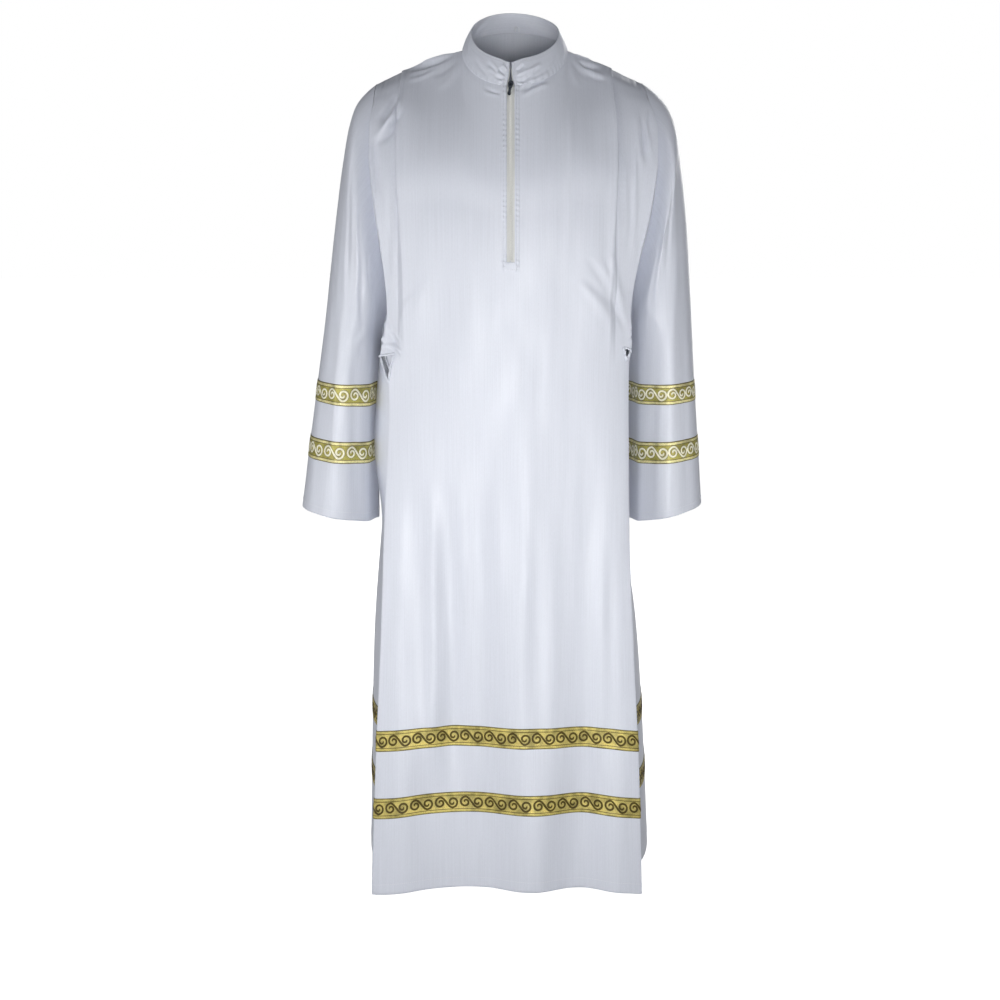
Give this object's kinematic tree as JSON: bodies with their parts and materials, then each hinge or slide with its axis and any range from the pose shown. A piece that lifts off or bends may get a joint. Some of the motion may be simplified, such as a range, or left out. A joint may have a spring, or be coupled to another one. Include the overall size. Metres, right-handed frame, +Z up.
{
  "type": "priest robe",
  "caption": "Long white satin robe as worn with no wearer: stand collar, half zip, straight sleeves, gold bands on sleeves and hem, open at neck, cuffs and hem.",
  "frame": {"origin": "middle of the neck's base, between the shoulders that carry the robe", "axes": "+Z up, +X to the right of someone facing the robe, -Y towards them"},
  "size_m": [0.6482, 0.4258, 1.3796],
  "materials": {
    "front": "white satin, soft sheen",
    "back": "white satin, soft sheen",
    "collar": "white satin, soft sheen",
    "sleeve_left": "white satin, soft sheen",
    "sleeve_right": "white satin, soft sheen",
    "sleeve_band_upper_left": "gold metallic galloon, woven",
    "sleeve_band_lower_left": "gold metallic galloon, woven",
    "sleeve_band_upper_right": "gold metallic galloon, woven",
    "sleeve_band_lower_right": "gold metallic galloon, woven",
    "hem_band_upper_front": "gold metallic galloon, woven",
    "hem_band_lower_front": "gold metallic galloon, woven",
    "hem_band_upper_back": "gold metallic galloon, woven",
    "hem_band_lower_back": "gold metallic galloon, woven",
    "zip_tape_left": "woven tape, matte",
    "zip_tape_right": "woven tape, matte",
    "zip_coil": "nylon coil",
    "zip_slider": "dark lacquered metal",
    "zip_pull": "dark lacquered metal",
    "hanging_loop": "white satin, soft sheen"
  },
  "bodies": {
    "garment": {"front": "front", "back": "back", "collar": "collar", "sleeve_left": "sleeve_left", "sleeve_right": "sleeve_right", "sleeve_band_upper_left": "sleeve_band_upper_left", "sleeve_band_lower_left": "sleeve_band_lower_left", "sleeve_band_upper_right": "sleeve_band_upper_right", "sleeve_band_lower_right": "sleeve_band_lower_right", "hem_band_upper_front": "hem_band_upper_front", "hem_band_lower_front": "hem_band_lower_front", "hem_band_upper_back": "hem_band_upper_back", "hem_band_lower_back": "hem_band_lower_back", "zip_tape_left": "zip_tape_left", "zip_tape_right": "zip_tape_right", "zip_coil": "zip_coil", "zip_slider": "zip_slider", "hanging_loop": "hanging_loop"},
    "pull": {"zip_pull": "zip_pull"}
  },
  "joints": [
    {"name": "pull_swing", "type": "hinge", "parent": "garment", "child": "pull", "pos_m": [0, -0.09326, -0.05709], "axis": [-0.9903, 0.0577, 0.1266], "range_deg": [0, 160]}
  ]
}
